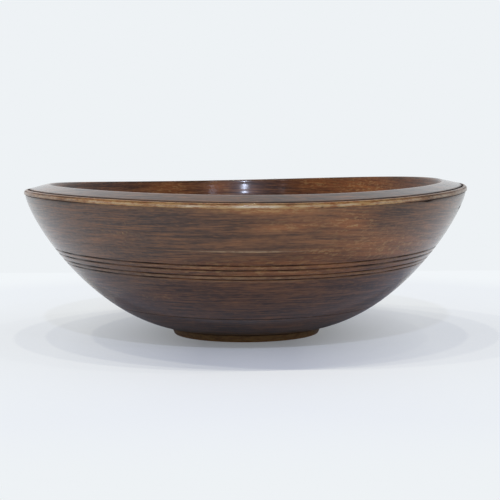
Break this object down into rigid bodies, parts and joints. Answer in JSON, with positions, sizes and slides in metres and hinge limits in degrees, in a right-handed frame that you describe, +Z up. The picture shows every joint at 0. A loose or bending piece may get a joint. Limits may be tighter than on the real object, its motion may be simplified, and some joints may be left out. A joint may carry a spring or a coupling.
{
  "type": "turned wooden dairy bowl",
  "caption": "Wide turned wooden bowl with a flat sloping rim, cut lines round the wall and a low foot, for milk, dough or fruit.",
  "frame": {"origin": "centre of the foot's underside, on the surface that the bowl stands on", "axes": "+Z up out of the bowl, +X along the wood's grain, which is the bowl's longest way across, +Y across the grain"},
  "size_m": [0.38, 0.3724, 0.1328],
  "materials": {
    "stained_hardwood": "dark-stained turned hardwood, waxed and worn to a soft gloss, with paler worn edges"
  },
  "bodies": {
    "root": {"bowl": "stained_hardwood"}
  },
  "joints": []
}
